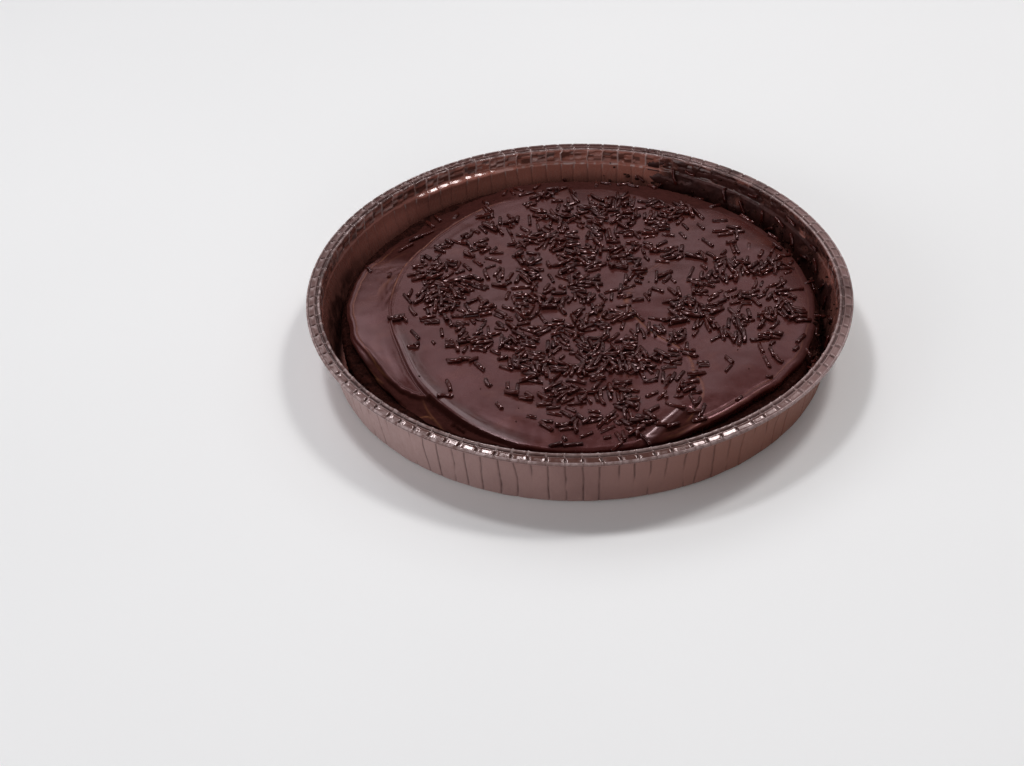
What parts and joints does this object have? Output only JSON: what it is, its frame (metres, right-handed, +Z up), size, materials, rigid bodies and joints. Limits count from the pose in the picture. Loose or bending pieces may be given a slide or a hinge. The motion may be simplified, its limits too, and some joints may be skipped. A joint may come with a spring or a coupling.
{
  "type": "chocolate tart",
  "caption": "Round low chocolate cake in a shallow pleated brown paper case, spread with glossy ganache and scattered with chocolate strands.",
  "frame": {"origin": "centre of the case's underside, on the surface it rests on", "axes": "+Z up through the middle of the tart; +Y away from the side shown at the front"},
  "size_m": [0.22, 0.2195, 0.028],
  "materials": {
    "case_paper": "brown greaseproof baking paper with a slight sheen",
    "cake_crumb": "dark moist open crumb",
    "ganache": "smooth set ganache with a satin gloss",
    "strands": "dark glossy chocolate strands"
  },
  "bodies": {
    "root": {"paper_case": "case_paper", "cake_base": "cake_crumb", "ganache": "ganache"}
  },
  "joints": []
}
